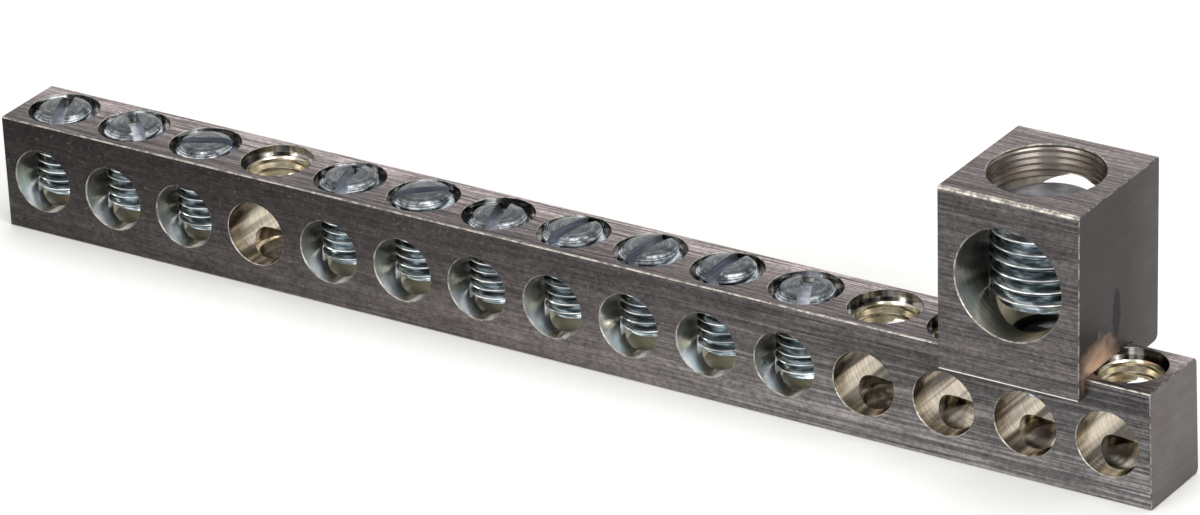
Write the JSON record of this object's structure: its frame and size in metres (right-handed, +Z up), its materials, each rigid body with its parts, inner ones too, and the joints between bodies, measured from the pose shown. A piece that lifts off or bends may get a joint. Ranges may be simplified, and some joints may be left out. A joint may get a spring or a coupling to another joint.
{
  "type": "ground bar",
  "caption": "Grounding terminal bar: a drilled aluminium bar with a row of wire holes, slotted set screws clamping from above, and a block lug for one large wire.",
  "frame": {"origin": "middle of the bar's flat bottom face", "axes": "+X along the bar towards the lug, -Y towards the side that the wires enter, +Z up towards the screw heads"},
  "size_m": [0.1314, 0.0148, 0.0289],
  "materials": {
    "extruded_aluminium": "brushed, dark mill finish with handling marks",
    "lug_aluminium": "brushed front and top, saw-cut sides",
    "zinc_plated_steel": "bright zinc plate"
  },
  "bodies": {
    "root": {"ground_bar": "extruded_aluminium", "lug": "lug_aluminium", "lug_fixing_screw": "zinc_plated_steel"},
    "screw_01": {"set_screw_01": "zinc_plated_steel"},
    "screw_02": {"set_screw_02": "zinc_plated_steel"},
    "screw_03": {"set_screw_03": "zinc_plated_steel"},
    "screw_05": {"set_screw_05": "zinc_plated_steel"},
    "screw_06": {"set_screw_06": "zinc_plated_steel"},
    "screw_07": {"set_screw_07": "zinc_plated_steel"},
    "screw_08": {"set_screw_08": "zinc_plated_steel"},
    "screw_09": {"set_screw_09": "zinc_plated_steel"},
    "screw_10": {"set_screw_10": "zinc_plated_steel"},
    "screw_11": {"set_screw_11": "zinc_plated_steel"},
    "lug_screw": {"lug_set_screw": "zinc_plated_steel"}
  },
  "joints": [
    {"name": "screw_01_travel", "type": "slide", "parent": "root", "child": "screw_01", "axis": [0, 0, 1], "range_m": [0, 0.005]},
    {"name": "screw_02_travel", "type": "slide", "parent": "root", "child": "screw_02", "axis": [0, 0, 1], "range_m": [0, 0.005]},
    {"name": "screw_03_travel", "type": "slide", "parent": "root", "child": "screw_03", "axis": [0, 0, 1], "range_m": [0, 0.005]},
    {"name": "screw_05_travel", "type": "slide", "parent": "root", "child": "screw_05", "axis": [0, 0, 1], "range_m": [0, 0.005]},
    {"name": "screw_06_travel", "type": "slide", "parent": "root", "child": "screw_06", "axis": [0, 0, 1], "range_m": [0, 0.005]},
    {"name": "screw_07_travel", "type": "slide", "parent": "root", "child": "screw_07", "axis": [0, 0, 1], "range_m": [0, 0.005]},
    {"name": "screw_08_travel", "type": "slide", "parent": "root", "child": "screw_08", "axis": [0, 0, 1], "range_m": [0, 0.005]},
    {"name": "screw_09_travel", "type": "slide", "parent": "root", "child": "screw_09", "axis": [0, 0, 1], "range_m": [0, 0.005]},
    {"name": "screw_10_travel", "type": "slide", "parent": "root", "child": "screw_10", "axis": [0, 0, 1], "range_m": [0, 0.005]},
    {"name": "screw_11_travel", "type": "slide", "parent": "root", "child": "screw_11", "axis": [0, 0, 1], "range_m": [0, 0.005]},
    {"name": "lug_screw_travel", "type": "slide", "parent": "root", "child": "lug_screw", "axis": [0, 0, 1], "range_m": [0, 0.008]}
  ]
}
